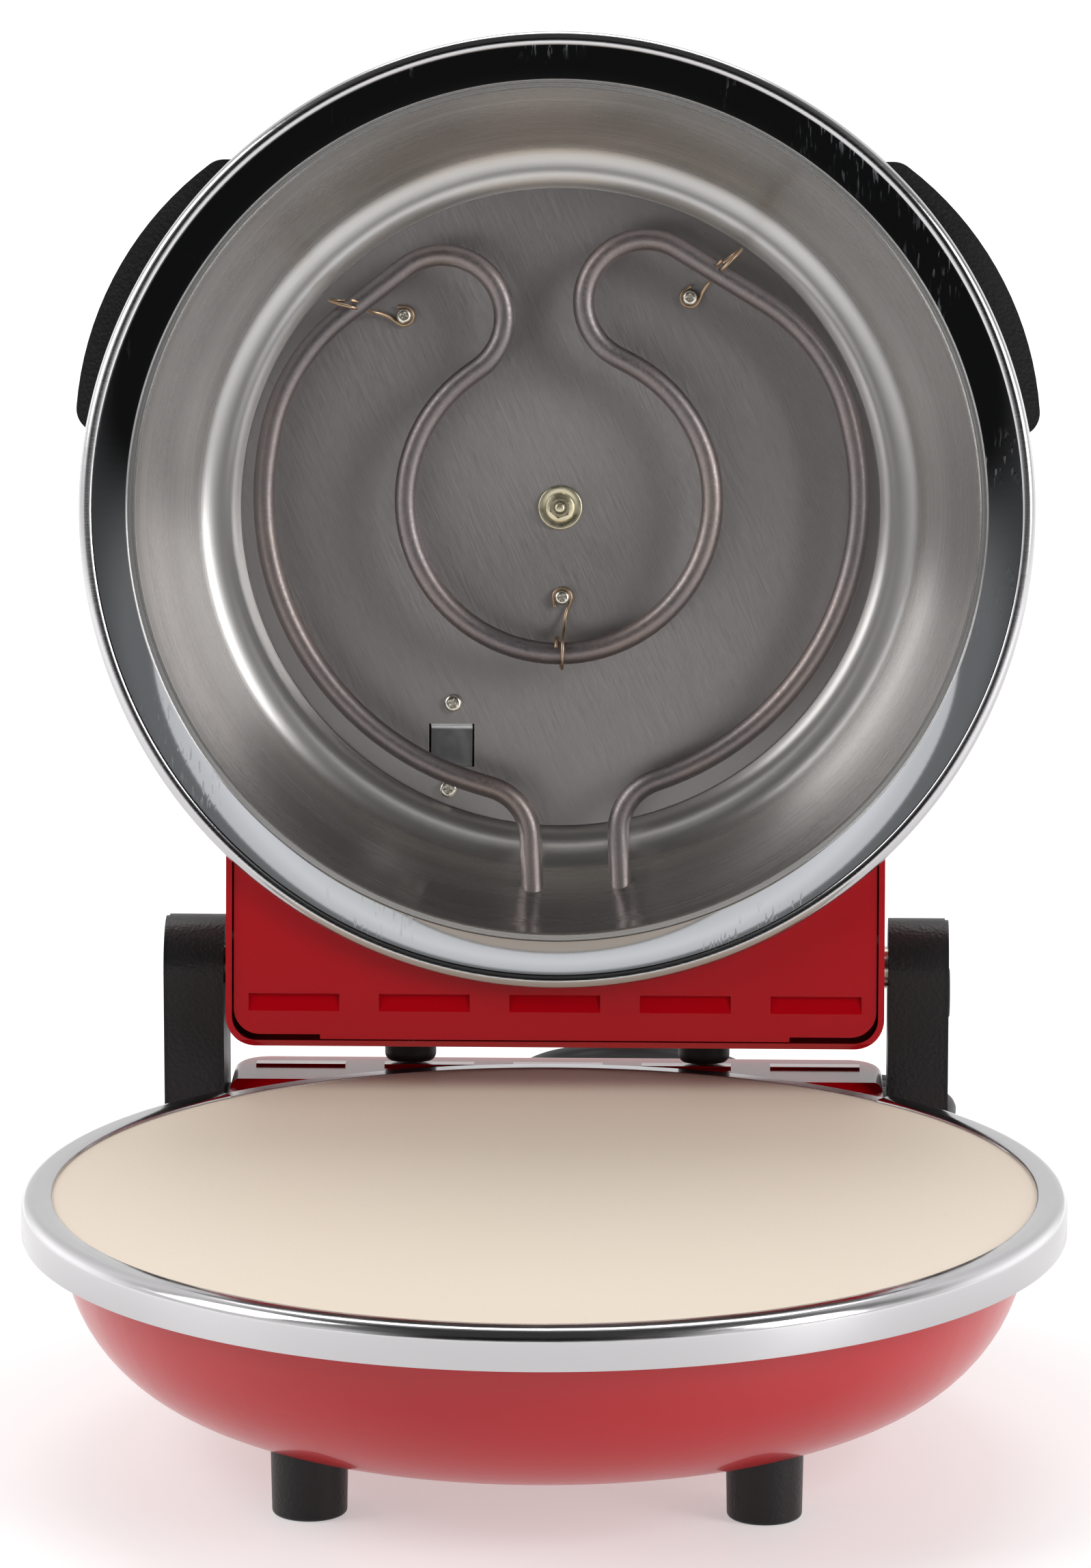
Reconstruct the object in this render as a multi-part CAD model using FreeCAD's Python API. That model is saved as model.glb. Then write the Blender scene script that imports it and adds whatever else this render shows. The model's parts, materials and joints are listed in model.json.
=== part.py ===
import FreeCAD, Part
import math
import os

# Countertop pizza oven: a round stone base with a hinged, electrically heated lid.
# Millimetres. Everything is drawn with the lid shut: the origin is on the table under the
# centre of the stone, +X is the user's right, +Y the back, +Z up. At the end the lid is
# swung open about the hinge and the whole oven is centred on its own footprint.

V = FreeCAD.Vector
PI = math.pi

# ---- driving dimensions ----
RING_R = 165.0            # outside of the polished ring around the stone
STONE_TOP = 81.0          # baking surface above the table
STONE_THICK = 9.5
LIP_R = 155.3             # inner edge of the ring, which holds the stone down
RING_TOP = STONE_TOP + 1.3
SKIRT_BOTTOM = 69.5
PAN_BOTTOM = 16.9         # flat bottom of the red pan above the table
PAN_WALL_R = 53.0         # radius of the pan's curved wall
PAN_TOP_R = 152.5
SHEET = 1.0               # painted sheet steel
FOOT_X, FOOT_Y, FOOT_R = 70.0, 82.0, 12.2

HINGE_Y, HINGE_Z = 152.0, 117.5
OPEN_ANGLE = 98.7         # from shut to resting on the bumpers
ARM_R = 16.5
ARM_IN, ARM_OUT = 110.2, 130.6
PIN_R = 7.0
RUN_FIT = 0.05            # radial running clearance

BOX_HALF = 108.7          # half width of the two rear boxes
BOX_BACK = 177.0
BASE_BOX_TOP, BASE_BOX_BOTTOM = 80.0, 42.0
LID_BOX_TOP, LID_BOX_BOTTOM = 147.0, 90.5
SWEEP_R = 35.6             # the lid box stays inside this radius of the hinge where it passes the base
LOUVRE_PITCH, LOUVRE_LONG, LOUVRE_COUNT = 43.1, 30.0, 5

LID_Z = 83.0              # rim plane of the shut lid
LID_R = 157.2
DOME_R, DOME_TOP = 155.0, 73.0
DOME_EDGE_R = 48.0        # radius between the dome's side and its crown
DISC_R, DISC_Z = 106.5, 53.7
LID_SHEET = 0.8

TUBE_R = 3.65             # sheathed heating elements
ELEMENT_Z = 38.5          # plane of the upper element above the rim plane
ELEMENT_TWIST = -2.5      # the upper element sits slightly turned about the lid's centre

THERMOSTAT_X, THERMOSTAT_Y = -36.3, 80.0
CORD_R, CORD_X, GLAND_Z = 3.5, -12.0, 58.0
COIL_X, COIL_Y, COIL_R = 97.0, 378.0, 35.0

FOOTPRINT_Y = 42.31       # middle of the open oven's footprint, behind the stone's centre


# ---- shape helpers ----
def outline(start, *steps):
    """Closed face in the XZ plane. A step is an end point, or a mid and an end point of an arc."""
    edges, here = [], V(start[0], 0, start[1])
    for step in steps + (start,):
        if isinstance(step[0], tuple):
            mid, end = (V(p[0], 0, p[1]) for p in step)
            edges.append(Part.Arc(here, mid, end).toShape())
        else:
            end = V(step[0], 0, step[1])
            if here.distanceToPoint(end) > 1e-6:
                edges.append(Part.makeLine(here, end))
        here = end
    return Part.Face(Part.Wire(edges))


def turned(start, *steps):
    """Solid of revolution about Z from an outline of (radius, height) points."""
    return outline(start, *steps).revolve(V(0, 0, 0), V(0, 0, 1), 360)


def plan(points, low, high):
    """Prism between two heights over a closed list of (x, y) points."""
    face = Part.Face(Part.makePolygon([V(x, y, low) for x, y in points + points[:1]]))
    return face.extrude(V(0, 0, high - low))


def side_prism(points, left, right):
    """Prism along X over a closed list of (y, z) points."""
    face = Part.Face(Part.makePolygon([V(left, y, z) for y, z in points + points[:1]]))
    return face.extrude(V(right - left, 0, 0))


def block(x0, x1, y0, y1, z0, z1):
    return Part.makeBox(x1 - x0, y1 - y0, z1 - z0, V(x0, y0, z0))


def drum(x, y, z0, z1, radius):
    return Part.makeCylinder(radius, z1 - z0, V(x, y, z0))


def axle(x0, x1, radius, y=HINGE_Y, z=HINGE_Z):
    return Part.makeCylinder(radius, x1 - x0, V(x0, y, z), V(1, 0, 0))


def rounded(solid, radius, picks):
    """Fillets the edges of a solid that a test picks."""
    return solid.makeFillet(radius, [e for e in solid.Edges if picks(e)])


def upright(edge, y_from=-1e9):
    a, b = edge.Vertexes[0].Point, edge.Vertexes[-1].Point
    return abs(a.x - b.x) < 1e-6 and abs(a.y - b.y) < 1e-6 and a.y > y_from


def flat_at(edge, height):
    return all(abs(v.Point.z - height) < 1e-6 for v in edge.Vertexes)


def mirrored(solid):
    return solid.mirror(V(0, 0, 0), V(1, 0, 0))


def arc_point(centre, radius, degrees):
    a = math.radians(degrees)
    return (centre[0] + radius * math.cos(a), centre[1] + radius * math.sin(a))


def belt(rounds, z):
    """Tangent line-and-arc wire at height z, like a belt over pulleys.

    Each round is (x, y, radius, turn), turn +1 for anticlockwise and -1 for clockwise.
    The first and last have radius 0 and are the wire's ends.
    """
    headings = []
    for (x0, y0, r0, t0), (x1, y1, r1, t1) in zip(rounds, rounds[1:]):
        apart = math.hypot(x1 - x0, y1 - y0)
        lean = math.asin((r0 * t0 - r1 * t1) / apart)
        headings.append(math.atan2(y1 - y0, x1 - x0) + lean)
    edges, here = [], V(rounds[0][0], rounds[0][1], z)

    def on_round(index, heading):
        x, y, radius, turn = rounds[index]
        return V(x + radius * turn * math.sin(heading), y - radius * turn * math.cos(heading), z)

    for i in range(1, len(rounds)):
        touch = on_round(i, headings[i - 1])
        if here.distanceToPoint(touch) > 1e-4:
            edges.append(Part.makeLine(here, touch))
        if i < len(rounds) - 1:
            turn = rounds[i][3]
            sweep = ((headings[i] - headings[i - 1]) * turn) % (2 * PI)
            leave = on_round(i, headings[i])
            middle = on_round(i, headings[i - 1] + turn * sweep / 2)
            edges.append(Part.Arc(touch, middle, leave).toShape())
            here = leave
    return Part.Wire(edges)


def piped(wire, radius):
    """Round bar along a wire."""
    first = wire.Edges[0]
    start = first.valueAt(first.FirstParameter)
    along = first.tangentAt(first.FirstParameter)
    circle = Part.Wire(Part.makeCircle(radius, start, along))
    return wire.makePipeShell([circle], True, False)


def ring_wire(x, y, z, loop_r, wire_r, axis=V(0, 0, 1)):
    return Part.makeTorus(loop_r, wire_r, V(x, y, z), axis)


def wire_bar(start, end, radius):
    return Part.makeCylinder(radius, (end - start).Length, start, end - start)


# ---- forms shared by several pieces ----
def dome_form(offset=0.0):
    """The lid's outer form, solid, drawn in by an offset: a crown and a rounded edge."""
    edge_r = DOME_EDGE_R - offset
    edge_x, edge_z = DOME_R - DOME_EDGE_R, LID_Z + 14.0
    top = LID_Z + DOME_TOP - offset
    rise = LID_Z + DOME_TOP - edge_z
    crown_r = (edge_x**2 + rise**2 - DOME_EDGE_R**2) / (2 * (rise - DOME_EDGE_R))
    crown_z = LID_Z + DOME_TOP - crown_r
    slope = math.degrees(math.atan2(edge_z - crown_z, edge_x))
    meet = arc_point((edge_x, edge_z), edge_r, slope)
    low = LID_Z + 4.05
    return turned(
        (0, low), (DOME_R - offset, low), (DOME_R - offset, edge_z),
        (arc_point((edge_x, edge_z), edge_r, slope / 2), meet),
        (arc_point((0, crown_z), crown_r - offset, (slope + 90) / 2), (0, top)),
    )


def hoop_form():
    """Room taken by the bright hoop round the lid's rim."""
    return drum(0, 0, LID_Z - 1, LID_Z + 9.7, LID_R + 0.1)


def pan_form():
    """Outer form of the pan with its flange, solid."""
    wall_x, wall_z = PAN_TOP_R - PAN_WALL_R, PAN_BOTTOM + PAN_WALL_R
    return turned(
        (0, PAN_BOTTOM), (wall_x, PAN_BOTTOM),
        (arc_point((wall_x, wall_z), PAN_WALL_R, -45), (PAN_TOP_R, wall_z)),
        (RING_R - 1.4, wall_z), (RING_R - 1.4, wall_z + SHEET), (0, wall_z + SHEET),
    )


FLANGE_TOP = PAN_BOTTOM + PAN_WALL_R + SHEET


# ---- base ----
def base_pan():
    wall_x, wall_z = PAN_TOP_R - PAN_WALL_R, PAN_BOTTOM + PAN_WALL_R
    inner_r = PAN_WALL_R - SHEET
    hollow = turned(
        (0, PAN_BOTTOM + SHEET), (wall_x, PAN_BOTTOM + SHEET),
        (arc_point((wall_x, wall_z), inner_r, -45), (PAN_TOP_R - SHEET, wall_z)),
        (PAN_TOP_R - SHEET, FLANGE_TOP + 1), (0, FLANGE_TOP + 1),
    )
    pan = pan_form().cut(hollow)
    pan = pan.cut(block(-34, 34, 120, 160, 46, 64))
    for x in (-FOOT_X, FOOT_X):
        for y in (-FOOT_Y, FOOT_Y):
            pan = pan.cut(drum(x, y, 0, 40, 2.0))
    return pan


def trim_ring():
    edge_r, wall = 4.0, 1.0
    corner = (RING_R - edge_r, RING_TOP - edge_r)
    ring = turned(
        (RING_R - wall, SKIRT_BOTTOM), (RING_R, SKIRT_BOTTOM), (RING_R, corner[1]),
        (arc_point(corner, edge_r, 45), (corner[0], RING_TOP)),
        (LIP_R + 0.6, RING_TOP - 0.3), (LIP_R, RING_TOP - 0.9), (LIP_R, STONE_TOP + 0.05),
        (LIP_R + 1.2, STONE_TOP + 0.05), (corner[0], RING_TOP - wall),
        (arc_point(corner, edge_r - wall, 45), (RING_R - wall, corner[1])),
    )
    behind = block(-BOX_HALF - 3, BOX_HALF + 3, 60, 180, 60, 90)
    ring = ring.cut(behind.cut(drum(0, 0, 60, 90, LIP_R + 5.0)))
    return ring.cut(block(-BOX_HALF - 3, BOX_HALF + 3, 60, 180, STONE_TOP + 0.5, 90))


def pizza_stone():
    low, radius = STONE_TOP - STONE_THICK, LIP_R + 1.5
    return turned(
        (0, low), (radius, low), (radius, STONE_TOP - 0.8), (radius - 0.8, STONE_TOP), (0, STONE_TOP)
    )


def reflector_tray():
    low, sheet, floor = FLANGE_TOP, 0.6, 40.0
    tray = turned(
        (0, floor), (128, floor), (143, 66), (146, low), (156.6, low), (156.6, low + sheet),
        (145.4, low + sheet), (142.3, 66.3), (127.6, floor + sheet), (0, floor + sheet),
    )
    for x in (-14.5, 14.5):
        tray = tray.cut(Part.makeCylinder(TUBE_R + 0.7, 40, V(x, 115, 56), V(0, 1, 0)))
    return tray


def lower_element():
    leg, loop, bend = 14.5, 92.0, 18.0
    corner_x = leg + bend
    corner_y = math.sqrt((loop + bend) ** 2 - corner_x**2) + 1.0
    return piped(belt([
        (leg, 152, 0, 1), (corner_x, corner_y, bend, 1), (0, 0, loop, -1),
        (-corner_x, corner_y, bend, 1), (-leg, 152, 0, 1),
    ], 56), TUBE_R)


def lower_element_clips():
    """Three saddles that hold the lower element up from the tray."""
    saddle = block(86, 98, -4, 4, 40.6, 56).cut(
        Part.makeTorus(92, TUBE_R, V(0, 0, 56))).cut(block(88, 96, -5, 5, 40, 51))
    clips = []
    for angle in (-25, -90, -155):
        clip = saddle.copy()
        clip.rotate(V(0, 0, 0), V(0, 0, 1), angle)
        clips.append(clip)
    return Part.makeCompound(clips)


def base_box_solid(inset):
    """The stepped rear box of the base, solid, drawn in by an inset."""
    top, back, step_y = BASE_BOX_TOP - inset, BOX_BACK - inset, 143.5
    body = side_prism([
        (90, BASE_BOX_BOTTOM - inset), (back, BASE_BOX_BOTTOM - inset), (back, top),
        (step_y, top), (step_y - 3.5, top - 2.5), (90, top - 2.5),
    ], -BOX_HALF + inset, BOX_HALF - inset)
    body = rounded(body, 12.0 - inset, lambda e: upright(e, 150))
    return rounded(body, 3.0 - inset, lambda e: flat_at(e, top) and e.BoundBox.YMax > step_y + 1)


def louvre_centres():
    middle = (LOUVRE_COUNT - 1) / 2
    return [(n - middle) * LOUVRE_PITCH for n in range(LOUVRE_COUNT)]


def base_rear_box():
    shell = base_box_solid(0.0).cut(base_box_solid(SHEET))
    shell = shell.cut(pan_form()).cut(drum(0, 0, 60, 90, LIP_R + 3.0))
    shell = shell.cut(block(-BOX_HALF - 1, BOX_HALF + 1, 80, BOX_BACK - 13, 30, BASE_BOX_BOTTOM + 0.01))
    top, front, half = BASE_BOX_TOP, 161.0, LOUVRE_LONG / 2
    for x in louvre_centres():
        shell = shell.fuse(side_prism(
            [(front, top - SHEET), (front, top + 0.8), (front + 7.5, top), (front + 7.5, top - SHEET)],
            x - half, x + half))
        shell = shell.cut(side_prism(
            [(front - 0.5, top - 1.5), (front - 0.5, top + 0.3), (front + 1.5, top + 0.1),
             (front + 1.5, top - 1.5)], x - half + 1, x + half - 1))
    for x in (-BOX_HALF, BOX_HALF):
        for y in (145, 160):
            shell = shell.cut(axle(x - 3, x + 3, 2.0, y, 62))
    return shell.cut(Part.makeCylinder(8.0, 10, V(CORD_X, BOX_BACK - 5, GLAND_Z), V(0, 1, 0)))


def base_box_floor():
    """Flat plate that closes the rear box underneath."""
    half, low = BOX_HALF - SHEET - 0.1, BASE_BOX_BOTTOM + 0.2
    plate = block(-half, half, 95, BOX_BACK - SHEET - 0.1, low, low + SHEET)
    plate = rounded(plate, 11.0, lambda e: upright(e, 150))
    plate = plate.cut(pan_form())
    for x in louvre_centres():
        for y in (152, 160, 168):
            plate = plate.cut(block(x - 12, x + 12, y - 1.2, y + 1.2, low - 1, low + 3))
    return plate


def arm_outline(radius, left, right, low):
    """Upright bar with a half-round top about the hinge axis, as a solid along X."""
    bar = block(left, right, HINGE_Y - radius, HINGE_Y + radius, low, HINGE_Z)
    bar = bar.fuse(axle(left, right, radius)).removeSplitter()
    return rounded(bar, 5.0, lambda e: flat_at(e, low) and abs(e.Vertexes[0].X - e.Vertexes[-1].X) > 1)


def hinge_arm():
    """Right hinge arm: a moulded post with a pad against the base box and a bore for the pin."""
    outer = ARM_OUT - 1.6
    arm = arm_outline(ARM_R, ARM_IN, outer, 45.0)
    pad = rounded(block(BOX_HALF, ARM_IN, 139, 165, 50, 74), 4.0,
                  lambda e: abs(e.Vertexes[0].X - e.Vertexes[-1].X) > 1)
    arm = arm.fuse(pad)
    arm = arm.cut(axle(ARM_IN - 1, outer - 4, PIN_R))
    for y in (145, 160):
        arm = arm.cut(axle(BOX_HALF - 1, outer - 8, 2.0, y, 62))
    return arm


def arm_cap():
    """Outer cover of the right arm with a shallow round screw cap."""
    cap = arm_outline(ARM_R - 0.6, ARM_OUT - 1.6, ARM_OUT - 0.4, 45.6)
    return cap.fuse(Part.makeCone(8.5, 7.9, 0.6, V(ARM_OUT - 0.4, HINGE_Y, 109), V(1, 0, 0)))


def arm_screws():
    screws = []
    for y in (145, 160):
        shank = axle(BOX_HALF - SHEET, ARM_OUT - 9.7, 2.0, y, 62)
        screws.append(shank.fuse(axle(BOX_HALF - SHEET - 2.4, BOX_HALF - SHEET, 3.8, y, 62)))
    return Part.makeCompound(screws)


def hinge_pin():
    """Hollow steel pin held in the right arm; the element wires pass through it."""
    return axle(BOX_HALF - 11, ARM_OUT - 5.6, PIN_R).cut(axle(90, ARM_OUT, 4.6))


def foot(x, y):
    body = turned((5, 0), (10.2, 0), (arc_point((10.2, 1.4), 1.4, -45), (11.6, 1.4)), (FOOT_R, 34), (5, 34))
    body = body.fuse(turned((0, 6), (5.2, 6), (5.2, 34), (0, 34)))
    body.translate(V(x, y, 0))
    body = body.removeSplitter().cut(drum(x, y, -1, 40, 2.0))
    return body.cut(pan_form())


def foot_screws():
    screws = []
    for x in (-FOOT_X, FOOT_X):
        for y in (-FOOT_Y, FOOT_Y):
            screws.append(drum(x, y, 3.4, 6, 3.9).fuse(drum(x, y, 6, 22, 2.0)))
    return Part.makeCompound(screws)


def terminal_block():
    ceramic = block(-22, 22, 158, 172, 43.2, 56)
    for x in (-14.5, 0, 14.5):
        ceramic = ceramic.cut(drum(x, 165, 48, 57, 3.0))
    return ceramic


# ---- cord ----
def cord_gland():
    """Bend guard in the rear wall: a flange outside, a collar inside and a tapered sleeve."""
    gland = outline(
        (0, -4), (9.5, -4), (9.5, -1), (8, -1), (8, 0), (10, 0), (10, 2.5), (6.8, 3.5), (4.9, 22), (0, 22)
    ).revolve(V(0, 0, 0), V(0, 0, 1), 360)
    gland.rotate(V(0, 0, 0), V(1, 0, 0), -90)
    gland.translate(V(CORD_X, BOX_BACK, GLAND_Z))
    return gland


def cord_route():
    """The lead's free stretch: out of the gland, down to the table, back and round to the coil."""
    lay = CORD_R + 0.1
    return [
        V(CORD_X, BOX_BACK + 22, GLAND_Z), V(CORD_X, 233, 54), V(-13, 266, 32), V(-16, 306, 9),
        V(-20, 352, lay), V(-23, 402, lay), V(-21, 465, lay), V(4.4, 487.7, lay),
        V(38.4, 486.5, lay), V(62, 462, lay), V(60.5, 430, lay),
        V(COIL_X - COIL_R, COIL_Y + 22, lay),
    ]


def cord_lead():
    """Tube of straight runs and tangent arcs through the route's corners."""
    route = cord_route()
    edges, here = [], route[0]
    for before, corner, after in zip(route, route[1:], route[2:]):
        into, out = (corner - before), (after - corner)
        half_turn = into.getAngle(out) / 2
        reach = 0.45 * min(into.Length, out.Length)
        print("cord bend radius", round(reach / math.tan(half_turn), 1))
        start = corner - V(into).normalize() * reach
        end = corner + V(out).normalize() * reach
        inward = (V(out).normalize() - V(into).normalize()).normalize()
        radius = reach / math.tan(half_turn)
        middle = corner + inward * (radius / math.cos(half_turn) - radius)
        edges += [Part.makeLine(here, start), Part.Arc(start, middle, end).toShape()]
        here = end
    edges.append(Part.makeLine(here, route[-1]))
    wire = Part.Wire(edges)
    tube = piped(wire, CORD_R)
    print("cord free length", round(wire.Length, 1), "tube volume ratio",
          round(tube.Volume / (wire.Length * PI * CORD_R**2), 4))
    return tube


def cord_coil():
    """Outer form of the tied coil, four turns in two layers."""
    half, high = 7.5, 14.1
    ring = turned((COIL_R - half, 0), (COIL_R + half, 0), (COIL_R + half, high), (COIL_R - half, high))
    ring = ring.makeFillet(3.0, ring.Edges)
    ring.translate(V(COIL_X, COIL_Y, 0))
    return ring


PLUG_AT = V(COIL_X - COIL_R, COIL_Y - 66, 18.6)


def mains_plug():
    """Round earthed plug lying on its side, with its sleeve towards the coil."""
    body = outline(
        (0, 0), (17.5, 0), (18.5, 1), (18.5, 20), (15, 30), (7, 34), (5, 36), (4.4, 56), (0, 56)
    ).revolve(V(0, 0, 0), V(0, 0, 1), 360)
    for side in (-1, 1):
        body = body.cut(block(side * 16.8 - 2.2, side * 16.8 + 2.2, -3, 3, -1, 14))
    body.rotate(V(0, 0, 0), V(1, 0, 0), -90)
    body.translate(PLUG_AT)
    return body


def plug_pins():
    pins = []
    for side in (-1, 1):
        pin = Part.makeCylinder(2.4, 17, V(PLUG_AT.x + side * 9.5, PLUG_AT.y, PLUG_AT.z), V(0, -1, 0))
        tip = Part.makeSphere(2.4, V(PLUG_AT.x + side * 9.5, PLUG_AT.y - 17, PLUG_AT.z))
        pins.append(pin.fuse(tip))
    return Part.makeCompound(pins)


# ---- lid ----
HOLE_R = 4.1


def lid_bowl():
    """Drawn reflector: rim flange, bead, hollow wall, ridge and a ledge behind the inner plate."""
    z, s = LID_Z, LID_SHEET
    back = z + DISC_Z + s
    bowl = turned(
        (154.9, z + 3.2), (141.6, z + 3.2),
        ((140.2, z + 1.6), (138.8, z + 3.2)),
        ((133.2, z + 25.6), (120.6, z + 44.6)),
        ((117.4, z + 46.9), (112.4, z + 47.7)),
        ((108.6, z + 49.4), (DISC_R + 0.4, z + DISC_Z)),
        (DISC_R + 0.4, back), (98.0, back), (98.0, back + s), (DISC_R + 1.2, back + s),
        ((109.3, z + 50.4), (112.6, z + 48.5)),
        ((117.8, z + 47.7), (121.2, z + 45.2)),
        ((134.0, z + 25.9), (139.6, z + 4.0)),
        (154.9, z + 4.0),
    )
    for x, y in element_legs():
        bowl = bowl.cut(Part.makeCylinder(HOLE_R, 30, V(x, y - 14, z + ELEMENT_Z), V(0, 1, 0)))
    return bowl.cut(block(-43.2, -29.0, 84, 97.2, back - 0.01, back + 2))


def lid_plate():
    """Round brushed plate in the middle of the lid, held by the centre nut."""
    z = LID_Z
    plate = drum(0, 0, z + DISC_Z, z + DISC_Z + LID_SHEET, DISC_R)
    plate = plate.cut(block(-43.7, -28.5, 72.6, 87.0, z + 50, z + 60))
    for x, y in CLIP_SCREWS + THERMOSTAT_SCREWS:
        plate = plate.cut(drum(x, y, z + 50, z + 60, 1.5))
    return plate.cut(drum(0, 0, z + 50, z + 60, 2.5))


def lid_dome():
    """Painted outer skin, with a window behind it into the rear box for the wires."""
    dome = dome_form().cut(dome_form(LID_SHEET)).cut(drum(0, 0, LID_Z, LID_Z + 5, DOME_R - LID_SHEET))
    dome = dome.cut(block(-45, 45, 110, 160, LID_Z + 22, LID_Z + 52))
    dome = dome.cut(drum(THERMOSTAT_X, THERMOSTAT_Y, LID_Z + 55, LID_Z + 75, 4.0))
    for x, y in HANDLE_SCREWS:
        dome = dome.cut(drum(x, y, LID_Z + 40, LID_Z + 80, 2.0))
    for x in LAMP_X:
        dome = dome.cut(drum(x, THERMOSTAT_Y, LID_Z + 50, LID_Z + 80, 3.5))
    return dome


def lid_rim():
    """Polished hoop that clamps the bowl and the dome together."""
    z = LID_Z
    return turned(
        (152.9, z + 3.15), (152.9, z + 1.0), ((156.1, z + 1.3), (LID_R, z + 4.3)),
        (LID_R, z + 9.6), (DOME_R + 0.1, z + 9.6), (DOME_R + 0.1, z + 3.15),
    )


def element_legs():
    """Where the two ends of the upper element pass through the bowl's rear wall."""
    twist = math.radians(ELEMENT_TWIST)
    return [
        (0.8 + side * 14.7 * math.cos(twist) - 124 * math.sin(twist),
         124 * math.cos(twist) + side * 14.7 * math.sin(twist))
        for side in (-1, 1)
    ]


def upper_element_wire():
    """Centre line of the omega: two outer arcs, two front lobes and an inner loop.

    Hand-bent over round formers, so the left and right lobes differ a little.
    """
    outer = (0.2, -3.5, 99.1, -1)
    wire = belt([
        (14.7, 140.0, 0, 1), (32.7, 109.0, 18, 1), outer, (35.9, -14.3, 62.0, -1),
        (30.7, -67.6, 20.6, -1), (-0.7, -2.9, 51.1, 1), (-37.0, -65.0, 20.7, -1),
        (-33.0, -14.2, 64.4, -1), outer, (-32.7, 109.0, 18, 1), (-14.7, 140.0, 0, 1),
    ], LID_Z + ELEMENT_Z)
    wire.rotate(V(0, 0, 0), V(0, 0, 1), ELEMENT_TWIST)
    wire.translate(V(0.8, 0, 0))
    return wire


def upper_element():
    return piped(upper_element_wire(), TUBE_R)


CLIP_SCREWS = [(-52.4, -63.7), (43.0, -70.2), (0.8, 30.1)]
CLIP_HOOKS = [(-71.5, -67.5), (56.4, -82.6), (1.2, 48.0)]
THERMOSTAT_SCREWS = [(-35.7, 65.8), (-37.2, 94.5)]
HANDLE_SCREWS = [(-118, -66), (118, -66)]
LAMP_X = (16.0, 38.0)


def element_clips():
    """Bronze wire clips: an eye under each screw, a leg, and a loop round the heating tube."""
    wire, eye_z, loop_r = 0.85, LID_Z + DISC_Z - 0.9, TUBE_R + 1.2
    centre_line = upper_element_wire()
    clips = []
    for (sx, sy), (hx, hy) in zip(CLIP_SCREWS, CLIP_HOOKS):
        nearest = centre_line.distToShape(Part.Vertex(V(hx, hy, LID_Z + ELEMENT_Z)))
        seat, (_, edge_number, place) = nearest[1][0][0], nearest[2][0][:3]
        tube_way = centre_line.Edges[edge_number].tangentAt(place)
        eye = V(sx, sy, eye_z)
        away = V(seat.x - sx, seat.y - sy, 0).normalize()
        side = V(tube_way.y, -tube_way.x, 0)
        if side.dot(away) > 0:
            side = side * -1
        bends = [eye + away * 2.6, eye + away * 5.0, seat + side * loop_r * 0.8 + V(0, 0, loop_r * 0.6)]
        clip = ring_wire(sx, sy, eye_z, 2.6, wire).fuse([
            wire_bar(bends[0], bends[1], wire), Part.makeSphere(wire, bends[1]),
            wire_bar(bends[1], bends[2], wire), Part.makeTorus(loop_r, wire, seat, tube_way),
        ])
        clips.append(clip)
    return Part.makeCompound(clips)


def pan_screws(places, under, length):
    """Pan-head screws driven up into the lid from a face at height under."""
    screws = []
    for x, y in places:
        head = Part.makeCylinder(3.1, 2.0, V(x, y, under - 2.0))
        head = rounded(head, 0.9, lambda e: flat_at(e, under - 2.0) and e.Curve.TypeId == "Part::GeomCircle")
        screws.append(head.fuse(drum(x, y, under, under + length, 1.5)))
    return Part.makeCompound(screws)


def centre_stud():
    """Stud and hexagon nut that hold the inner disc."""
    face = LID_Z + DISC_Z - 1.2
    nut = plan([arc_point((0, 0), 4.62, 60 * n) for n in range(6)], face - 4.0, face)
    return nut.fuse([drum(0, 0, face - 6.5, face - 4.0, 2.5), drum(0, 0, face, face + 8, 2.5)])


def penny_washer():
    return drum(0, 0, LID_Z + DISC_Z - 1.2, LID_Z + DISC_Z, 7.8).cut(
        drum(0, 0, LID_Z + 40, LID_Z + 60, 2.5))


def thermostat_strip():
    """Bright strip behind the window that carries heat to the thermostat."""
    z = LID_Z + DISC_Z + LID_SHEET
    strip = side_prism([(62, z), (97, z), (97, z + 0.8), (86, z + 0.8), (73, z + 3.2),
                        (62, z + 0.8)], -43.0, -29.2)
    strip = strip.cut(side_prism([(73.5, z - 1), (86, z - 1), (86, z), (73.5, z + 2.4)], -50, -20))
    for x, y in THERMOSTAT_SCREWS:
        strip = strip.cut(drum(x, y, z - 1, z + 5, 1.5))
    return strip


def thermostat_body():
    z = LID_Z + DISC_Z + LID_SHEET + 3.3
    body = block(-46.3, -26.3, 72, 88, z, z + 4.2)
    return body.fuse(drum(THERMOSTAT_X, THERMOSTAT_Y, z + 4.2, z + 6.0, 6.0))


def lid_box_solid(inset):
    top = LID_BOX_TOP - inset
    body = block(-BOX_HALF + inset, BOX_HALF - inset, 100, BOX_BACK + 0.2 - inset,
                 LID_BOX_BOTTOM - inset, top)
    body = rounded(body, 10.0 - inset, lambda e: upright(e, 150))
    return rounded(body, 6.0 - inset, lambda e: flat_at(e, top) and e.BoundBox.YMax > 101)


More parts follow.
